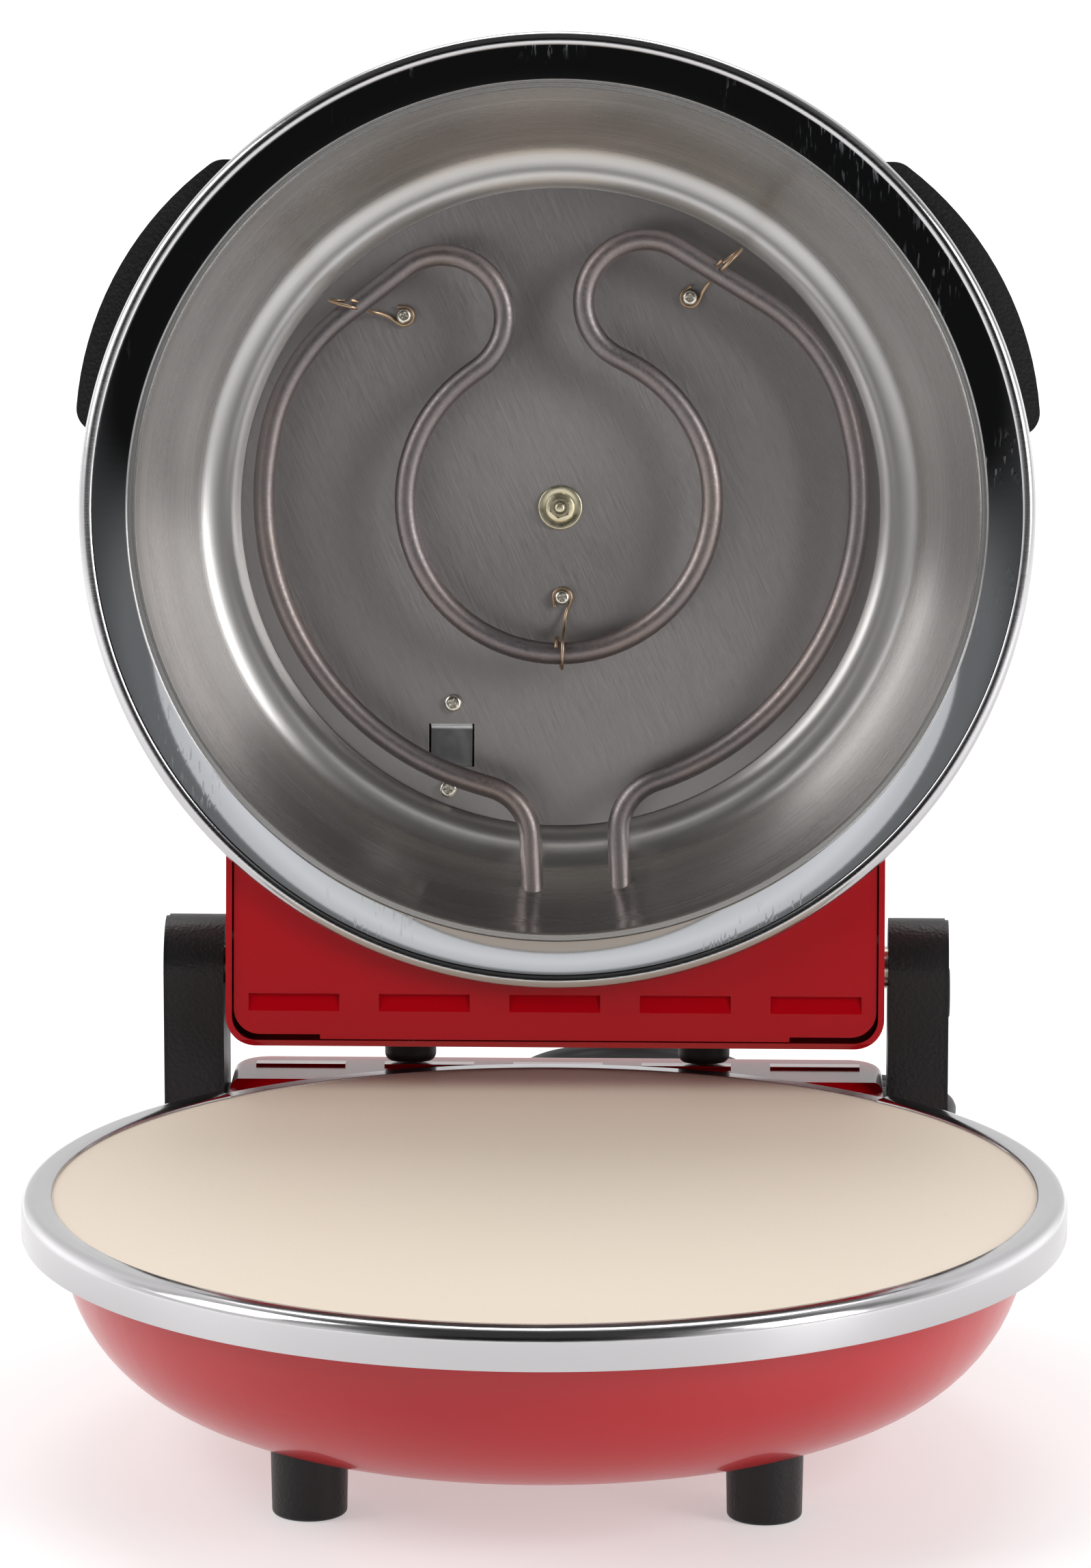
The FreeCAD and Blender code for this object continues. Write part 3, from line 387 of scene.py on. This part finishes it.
def clip_points(screw, hook, hand):
    """Control points of one clip: an eye round the screw, a cranked leg, a hook over the tube."""
    screw, hook = Vector(screw), Vector(hook)
    out = (hook - screw).normalized()
    side = Vector((-out.y, out.x)) * hand

    def at(along, across, z, origin=screw):
        spot = origin + out * along + side * across
        return on_lid(spot.x, spot.y, z)

    eye = [at(EYE_R * cos(a), EYE_R * sin(a), EYE_Z) for a in map(radians, range(62, 330, 34))]
    reach = (hook - screw).length
    leg = [at(5.4, -0.9, 52.2), at(reach - 8.0, -0.6, 50.0)]
    over_tube = [
        (-5.6, -0.5, 42.5), (-4.6, -0.4, 34.2), (0.6, -0.2, 33.2), (4.6, 0.0, 35.4),
        (5.6, 0.3, 39.0), (3.6, 0.6, 43.0), (0.0, 0.9, 43.8), (-4.0, 1.3, 42.6),
        (-5.3, 1.6, 38.6), (-4.4, 1.8, 34.6), (-2.0, 1.9, 33.6),
    ]
    return [at(3.0, 2.6, 52.2)] + eye + leg + [at(*spot, hook) for spot in over_tube]


def make_clips():
    curve = new_tube("clip_wires", 4, 8)
    for screw, _, hook, hand in CLIPS:
        add_run(curve, clip_points(screw, hook, hand), WIRE_R)
    clips = link(bpy.data.objects.new("clip_wires", curve))
    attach(clips, "lid")
    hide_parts("element_clips")
    return clips


NEW_PIECES = [
    (make_trim_ring(), "polished_steel"),
    (make_lid_rim(), "polished_steel"),
    (make_bowl(), "bowl_steel"),
    (make_leg_collars(), "screw_steel"),
    (make_screw_heads("clip_screw_heads", [clip[:2] for clip in CLIPS], CLIP_SEAT, CLIP_HEAD_R,
                      "clip_screws"), "screw_steel"),
    (make_screw_heads("thermostat_screw_heads", THERMOSTAT_SCREWS, THERMOSTAT_SEAT,
                      THERMOSTAT_HEAD_R, "thermostat_screws"), "screw_steel"),
    (make_centre_nut(), "zinc_passivated"),
    (make_washer(), "zinc_passivated"),
    (make_clips(), "bronze_wire"),
]


# ---- shader helpers ----
def add(tree, kind, values=None, **props):
    """New shader node with its properties set and its inputs set or linked."""
    node = tree.nodes.new(kind)
    for name, value in props.items():
        setattr(node, name, value)
    for name, value in (values or {}).items():
        socket = node.inputs[name]
        if isinstance(value, bpy.types.NodeSocket):
            tree.links.new(value, socket)
        else:
            socket.default_value = value
    return node


def new_material(name, colour=(0.5, 0.5, 0.5), **values):
    """Material with a Principled shader whose sockets are set by name."""
    material = bpy.data.materials.new(name)
    material.use_nodes = True
    shader = material.node_tree.nodes["Principled BSDF"]
    shader.inputs["Base Color"].default_value = (*colour, 1)
    for key, value in values.items():
        shader.inputs[key.replace("_", " ")].default_value = value
    return material, material.node_tree, shader


def place(tree, scale=(1, 1, 1), lid=False):
    """Object coordinates, in the lid's own axes if asked, stretched by a scale."""
    source = add(tree, "ShaderNodeTexCoord").outputs["Object"]
    if lid:
        turn = {"Vector": source, "Location": LID_CENTRE, "Rotation": (-OPEN, 0, 0)}
        source = add(tree, "ShaderNodeMapping", turn, vector_type="TEXTURE").outputs[0]
    return add(tree, "ShaderNodeMapping", {"Vector": source, "Scale": scale}).outputs[0]


def noise(tree, vector, scale, detail=3.0, rough=0.55):
    values = {"Vector": vector, "Scale": scale, "Detail": detail, "Roughness": rough}
    return add(tree, "ShaderNodeTexNoise", values).outputs["Fac"]


def remap(tree, value, low, high, to_low, to_high, smooth=False):
    values = {"Value": value, "From Min": low, "From Max": high, "To Min": to_low, "To Max": to_high}
    kind = "SMOOTHSTEP" if smooth else "LINEAR"
    return add(tree, "ShaderNodeMapRange", values, interpolation_type=kind).outputs[0]


def math_node(tree, operation, *values):
    node = add(tree, "ShaderNodeMath", operation=operation)
    for socket, value in zip(node.inputs, values):
        if isinstance(value, bpy.types.NodeSocket):
            tree.links.new(value, socket)
        else:
            socket.default_value = value
    return node.outputs[0]


def blend_colour(tree, factor, first, second):
    node = add(tree, "ShaderNodeMix", data_type="RGBA")
    for index, value in ((0, factor), (6, first), (7, second)):
        if isinstance(value, bpy.types.NodeSocket):
            tree.links.new(value, node.inputs[index])
        else:
            node.inputs[index].default_value = value if index == 0 else (*value, 1)
    return node.outputs[2]


def blend_value(tree, factor, first, second):
    rest = math_node(tree, "SUBTRACT", 1.0, factor)
    return math_node(tree, "ADD", math_node(tree, "MULTIPLY", rest, first),
                     math_node(tree, "MULTIPLY", factor, second))


def bump(tree, shader, height, strength, distance):
    values = {"Height": height, "Strength": strength, "Distance": distance}
    tree.links.new(add(tree, "ShaderNodeBump", values).outputs[0], shader.inputs["Normal"])


def radius_from_axis(tree, vector):
    flat = add(tree, "ShaderNodeVectorMath", {0: vector, 1: (1, 1, 0)}, operation="MULTIPLY").outputs[0]
    return add(tree, "ShaderNodeVectorMath", {0: flat}, operation="LENGTH").outputs["Value"]


# ---- materials ----
def red_enamel(name, colour, roughness=0.22):
    material, tree, shader = new_material(
        name, colour, Roughness=roughness, Coat_Weight=0.5, Coat_Roughness=0.05, Specular_IOR_Level=0.25)
    where = place(tree)
    tone = noise(tree, where, 9.0)
    darker = tuple(c * 0.86 for c in colour)
    tree.links.new(blend_colour(tree, tone, darker, colour), shader.inputs["Base Color"])
    peel = noise(tree, where, 420.0, 2.0)
    rough = remap(tree, noise(tree, where, 35.0), 0.0, 1.0, roughness - 0.05, roughness + 0.05)
    tree.links.new(rough, shader.inputs["Roughness"])
    bump(tree, shader, peel, 0.035, 0.001)
    return material


def polished_steel():
    material, tree, shader = new_material("polished_steel", (0.52, 0.51, 0.52), Metallic=1.0)
    where = place(tree)
    streaks = noise(tree, place(tree, (30, 30, 900)), 3.0, 4.0)
    smear = noise(tree, where, 14.0, 4.0)
    both = math_node(tree, "MULTIPLY", streaks, smear)
    tree.links.new(remap(tree, both, 0.1, 0.45, 0.10, 0.24), shader.inputs["Roughness"])
    bump(tree, shader, streaks, 0.03, 0.0005)
    return material


def world_way(tree, way):
    """A direction given in the part's own axes, as the renderer wants it."""
    return add(tree, "ShaderNodeVectorTransform", {"Vector": way}, vector_type="VECTOR",
               convert_from="OBJECT", convert_to="WORLD").outputs[0]


def bowl_steel():
    """Drawn stainless bowl: a mirror flange with handling scratches, darkened by painted reflection, and a
    spun satin wall.
    """
    material, tree, shader = new_material(
        "bowl_steel", (0.6, 0.6, 0.6), Metallic=1.0, Anisotropic=0.75, Anisotropic_Rotation=0.25)
    here = place(tree, lid=True)
    radius = radius_from_axis(tree, here)
    on_flange = remap(tree, radius, 0.1412, 0.1418, 0.0, 1.0, smooth=True)
    clouds = noise(tree, here, 16.0, 3.0)
    rings = add(tree, "ShaderNodeCombineXYZ", {"X": math_node(tree, "MULTIPLY", radius, 2600.0)}).outputs[0]
    split = add(tree, "ShaderNodeSeparateXYZ", {0: here}).outputs
    spun_at = add(tree, "ShaderNodeVectorMath", {0: rings, 1: here}, operation="ADD").outputs[0]
    spun = noise(tree, spun_at, 1.0, 3.0)
    wall = blend_colour(tree, clouds, (0.60, 0.585, 0.57), (0.70, 0.69, 0.68))
    wall = blend_colour(tree, math_node(tree, "MULTIPLY", spun, 0.35), wall, (0.46, 0.455, 0.45))
    # painted reflection: the flange is the same steel as the wall but gets a darker, bluer colour for the
    # dark surround it mirrors
    tree.links.new(blend_colour(tree, on_flange, wall, (0.40, 0.41, 0.43)), shader.inputs["Base Color"])
    patches = remap(tree, noise(tree, here, 22.0, 3.0), 0.52, 0.66, 0.0, 0.8, smooth=True)
    ticks = noise(tree, place(tree, (900, 130, 900), lid=True), 1.0, 2.0)
    marks = math_node(tree, "MULTIPLY", patches, remap(tree, ticks, 0.56, 0.64, 0.0, 1.0, smooth=True))
    flange_rough = remap(tree, marks, 0.0, 1.0, 0.05, 0.30)
    by_ridge = remap(tree, radius, 0.116, 0.122, 0.12, 0.0, smooth=True)
    wall_rough = math_node(tree, "ADD", remap(tree, spun, 0.3, 0.7, 0.21, 0.30), by_ridge)
    tree.links.new(blend_value(tree, on_flange, wall_rough, flange_rough), shader.inputs["Roughness"])
    around = add(tree, "ShaderNodeCombineXYZ", {
        "X": math_node(tree, "MULTIPLY", split[1], -1.0),
        "Y": math_node(tree, "MULTIPLY", split[0], cos(OPEN)),
        "Z": math_node(tree, "MULTIPLY", split[0], -sin(OPEN))}).outputs[0]
    tree.links.new(world_way(tree, around), shader.inputs["Tangent"])
    bump(tree, shader, blend_value(tree, on_flange, spun, marks), 0.05, 0.0004)
    return material


def disc_steel():
    """Dull disc with fine straight brush lines and a shallow dish round the centre nut."""
    material, tree, shader = new_material(
        "disc_steel", (0.3, 0.3, 0.3), Metallic=1.0, Anisotropic=0.7, Anisotropic_Rotation=0.25)
    lean = radians(24)
    here = place(tree, lid=True)
    turned_here = add(tree, "ShaderNodeMapping", {"Vector": here, "Rotation": (0, 0, lean)}).outputs[0]

    def lines(scale, detail, share):
        where = add(tree, "ShaderNodeMapping", {"Vector": turned_here, "Scale": scale}).outputs[0]
        return math_node(tree, "MULTIPLY", noise(tree, where, 1.0, detail), share)

    grain = math_node(tree, "ADD", lines((2600, 70, 70), 3.0, 0.55), lines((4200, 240, 240), 2.0, 0.45))
    clouds = noise(tree, here, 9.0, 3.0)
    tint = blend_colour(tree, clouds, (0.30, 0.275, 0.268), (0.35, 0.325, 0.315))
    base = blend_colour(tree, remap(tree, grain, 0.35, 0.65, 0.0, 0.8), tint, (0.30, 0.285, 0.285))
    tree.links.new(base, shader.inputs["Base Color"])
    tree.links.new(remap(tree, grain, 0.3, 0.7, 0.30, 0.42), shader.inputs["Roughness"])
    along = Vector((sin(lean), cos(lean), 0))
    way = add(tree, "ShaderNodeCombineXYZ", dict(zip("XYZ", LID_TURN @ along))).outputs[0]
    tree.links.new(world_way(tree, way), shader.inputs["Tangent"])
    dish = remap(tree, radius_from_axis(tree, here), 0.004, 0.046, 0.0, 1.0, smooth=True)
    height = math_node(tree, "ADD", math_node(tree, "MULTIPLY", grain, 0.06), dish)
    bump(tree, shader, height, 1.0, 0.0007)
    return material


def fired_clay():
    material, tree, shader = new_material("fired_clay", (0.80, 0.69, 0.57), Roughness=0.62)
    where = place(tree)
    wide = noise(tree, where, 7.0, 2.0)
    grain = noise(tree, where, 1400.0, 3.0)
    speck = remap(tree, noise(tree, where, 520.0, 2.0), 0.70, 0.76, 0.0, 0.35, smooth=True)
    base = blend_colour(tree, wide, (0.76, 0.65, 0.53), (0.79, 0.69, 0.58))
    base = blend_colour(tree, math_node(tree, "MULTIPLY", grain, 0.25), base, (0.70, 0.58, 0.45))
    tree.links.new(blend_colour(tree, speck, base, (0.62, 0.48, 0.35)), shader.inputs["Base Color"])
    tree.links.new(remap(tree, grain, 0.3, 0.7, 0.52, 0.68), shader.inputs["Roughness"])
    bump(tree, shader, grain, 0.10, 0.0003)
    return material


def moulded_plastic(name, colour, roughness, texture=0.25, scale=900.0):
    material, tree, shader = new_material(name, colour, Specular_IOR_Level=0.3)
    where = place(tree)
    values = {"Vector": where, "Scale": scale}
    cells = add(tree, "ShaderNodeTexVoronoi", values, feature="SMOOTH_F1").outputs[0]
    dust = noise(tree, where, 26.0, 4.0)
    lighter = tuple(c * 1.5 + 0.003 for c in colour)
    tree.links.new(blend_colour(tree, dust, colour, lighter), shader.inputs["Base Color"])
    rough = remap(tree, dust, 0.3, 0.7, roughness - 0.05, roughness + 0.07)
    tree.links.new(rough, shader.inputs["Roughness"])
    bump(tree, shader, cells, texture, 0.0006)
    return material


def heater_sheath():
    """Heat-browned steel sheath: violet and straw bands, fine drawing marks along the tube."""
    material, tree, shader = new_material("heater_sheath", (0.2, 0.17, 0.15), Metallic=0.92)
    where = place(tree)
    bands = remap(tree, noise(tree, where, 26.0, 4.0), 0.35, 0.65, 0.0, 1.0)
    fine = noise(tree, where, 900.0, 3.0)
    colour = blend_colour(tree, bands, (0.225, 0.19, 0.18), (0.18, 0.162, 0.168))
    flecks = remap(tree, noise(tree, where, 2600.0, 2.0), 0.60, 0.72, 0.0, 0.5)
    tree.links.new(blend_colour(tree, flecks, colour, (0.46, 0.38, 0.33)), shader.inputs["Base Color"])
    tree.links.new(remap(tree, fine, 0.3, 0.7, 0.36, 0.50), shader.inputs["Roughness"])
    bump(tree, shader, fine, 0.12, 0.0003)
    return material


def small_metal(name, colour, roughness, scale=300.0):
    material, tree, shader = new_material(name, colour, Metallic=1.0)
    where = place(tree)
    stain = noise(tree, where, scale, 4.0)
    darker = tuple(c * 0.72 for c in colour)
    tree.links.new(blend_colour(tree, stain, darker, colour), shader.inputs["Base Color"])
    tree.links.new(remap(tree, stain, 0.3, 0.7, roughness, roughness + 0.16), shader.inputs["Roughness"])
    bump(tree, shader, noise(tree, where, scale * 6, 2.0), 0.05, 0.0002)
    return material


def lamp_lens(name, colour):
    material, tree, shader = new_material(name, colour, Roughness=0.12, Coat_Weight=0.6, IOR=1.5)
    facets = add(tree, "ShaderNodeTexVoronoi", {"Vector": place(tree), "Scale": 900.0}).outputs[0]
    darker = tuple(c * 0.55 for c in colour)
    tree.links.new(blend_colour(tree, facets, darker, colour), shader.inputs["Base Color"])
    bump(tree, shader, facets, 0.2, 0.0005)
    return material


def white_ceramic():
    material, tree, shader = new_material("white_ceramic", (0.8, 0.78, 0.73), Roughness=0.5)
    grain = noise(tree, place(tree), 600.0)
    base = blend_colour(tree, grain, (0.72, 0.70, 0.65), (0.84, 0.82, 0.78))
    tree.links.new(base, shader.inputs["Base Color"])
    bump(tree, shader, grain, 0.1, 0.0003)
    return material


RED = (0.40, 0.0, 0.005)
MATERIALS = {
    "pan_enamel": red_enamel("pan_enamel", (0.45, 0.012, 0.017), 0.34),
    "red_enamel": red_enamel("red_enamel", RED),
    "polished_steel": polished_steel(),
    "bowl_steel": bowl_steel(),
    "disc_steel": disc_steel(),
    "fired_clay": fired_clay(),
    "heater_sheath": heater_sheath(),
    "black_moulding": moulded_plastic("black_moulding", (0.007, 0.0065, 0.007), 0.42),
    "dial_plastic": moulded_plastic("dial_plastic", (0.014, 0.014, 0.015), 0.3, 0.08),
    "bumper_rubber": moulded_plastic("bumper_rubber", (0.012, 0.011, 0.011), 0.5, 0.1),
    "cord_rubber": moulded_plastic("cord_rubber", (0.011, 0.011, 0.012), 0.48, 0.06, 1500.0),
    "bronze_wire": small_metal("bronze_wire", (0.46, 0.33, 0.22), 0.28),
    "zinc_passivated": small_metal("zinc_passivated", (0.70, 0.64, 0.46), 0.24),
    "screw_steel": small_metal("screw_steel", (0.78, 0.74, 0.66), 0.16),
    "bright_strip": small_metal("bright_strip", (0.93, 0.93, 0.94), 0.22, 60.0),
    "lamp_red": lamp_lens("lamp_red", (0.62, 0.02, 0.01)),
    "lamp_amber": lamp_lens("lamp_amber", (0.75, 0.28, 0.02)),
    "white_ceramic": white_ceramic(),
}
SLOT_MATERIAL = {"brushed_disc": "bowl_steel"}
NODE_MATERIAL = {"base_pan": "pan_enamel", "lid_plate": "disc_steel"}


def dress(obj, material):
    """Gives every slot of an object one material."""
    if not obj.data.materials:
        obj.data.materials.append(material)
    for index in range(len(obj.material_slots)):
        obj.material_slots[index].material = material


for entry in frame["record"]["subparts"]:
    key = NODE_MATERIAL.get(entry["node"], entry["material_slot"])
    key = SLOT_MATERIAL.get(key, key)
    dress(frame["nodes"][entry["node"]], MATERIALS[key])
dress(cord, MATERIALS["cord_rubber"])
for piece, key in NEW_PIECES:
    dress(piece, MATERIALS[key])


# ---- floor, world and lights ----
FLOOR_HALF = 12.0


def make_floor():
    """Pale paper that glows a little more away from the object, so that it fades into white."""
    mesh = bpy.data.meshes.new("floor")
    corners = [(x * FLOOR_HALF, y * FLOOR_HALF, 0) for x, y in ((-1, -1), (1, -1), (1, 1), (-1, 1))]
    mesh.from_pydata(corners, [], [(0, 1, 2, 3)])
    floor = link(bpy.data.objects.new("floor", mesh))
    material, tree, shader = new_material("floor_paper", (0.9, 0.9, 0.9), Roughness=0.5)
    here = place(tree)
    tone = noise(tree, here, 3.0)
    paper = blend_colour(tree, tone, (0.60, 0.60, 0.60), (0.62, 0.62, 0.62))
    tree.links.new(paper, shader.inputs["Base Color"])
    far = remap(tree, radius_from_axis(tree, here), 0.20, 1.4, 0.44, 0.90, smooth=True)
    shader.inputs["Emission Color"].default_value = (1, 1, 1, 1)
    tree.links.new(far, shader.inputs["Emission Strength"])
    dress(floor, material)


def make_world():
    """Bright studio at both sides and behind, dark in front, and white where the camera sees it."""
    world = bpy.data.worlds.new("studio")
    world.use_nodes = True
    bpy.context.scene.world = world
    bpy.context.scene.view_settings.view_transform = "Standard"
    tree = world.node_tree
    way = add(tree, "ShaderNodeTexCoord").outputs["Generated"]
    split = add(tree, "ShaderNodeSeparateXYZ", {0: way}).outputs
    front = math_node(tree, "MULTIPLY", split[1], -1.0)
    dark_front = remap(tree, front, 0.74, 0.92, 0.0, 1.0, smooth=True)
    right = remap(tree, split[0], 0.30, 0.70, 0.0, 1.0, smooth=True)
    left = remap(tree, split[0], -0.30, -0.75, 0.0, 1.0, smooth=True)
    low = remap(tree, split[2], 0.15, 0.55, 1.0, 0.25, smooth=True)
    behind = remap(tree, split[1], 0.0, 0.5, 0.0, 1.0, smooth=True)
    sides = math_node(tree, "ADD", math_node(tree, "MULTIPLY", right, 0.9),
                      math_node(tree, "MULTIPLY", left, 0.9))
    light = math_node(tree, "ADD", 0.06, math_node(tree, "MULTIPLY", sides, low))
    light = math_node(tree, "ADD", light, math_node(tree, "MULTIPLY", behind, 0.85))
    horizon = remap(tree, split[2], 0.04, 0.17, 0.30, 0.012, smooth=True)
    light = blend_value(tree, dark_front, light, horizon)
    seen = add(tree, "ShaderNodeLightPath").outputs["Is Camera Ray"]
    light = blend_value(tree, seen, light, 1.05)
    background = tree.nodes["Background"]
    tree.links.new(light, background.inputs["Strength"])
    background.inputs["Color"].default_value = (1, 1, 1, 1)


def area_light(name, place_at, aim, width, height, power):
    data = bpy.data.lights.new(name, "AREA")
    data.shape = "RECTANGLE"
    data.size, data.size_y, data.energy = width, height, power
    lamp = link(bpy.data.objects.new(name, data))
    lamp.location = place_at
    lamp.rotation_euler = (Vector(aim) - Vector(place_at)).to_track_quat("-Z", "Y").to_euler()


make_floor()
make_world()
area_light("box_left", (-1.5, -0.45, 1.2), (0, 0, 0.15), 0.9, 1.2, 17)
area_light("box_right", (1.5, -0.9, 0.9), (0, 0, 0.2), 0.7, 1.1, 17)
area_light("top", (0, 1.0, 2.0), (0, -0.3, 0.1), 1.6, 0.7, 16)

bpy.context.view_layer.update()
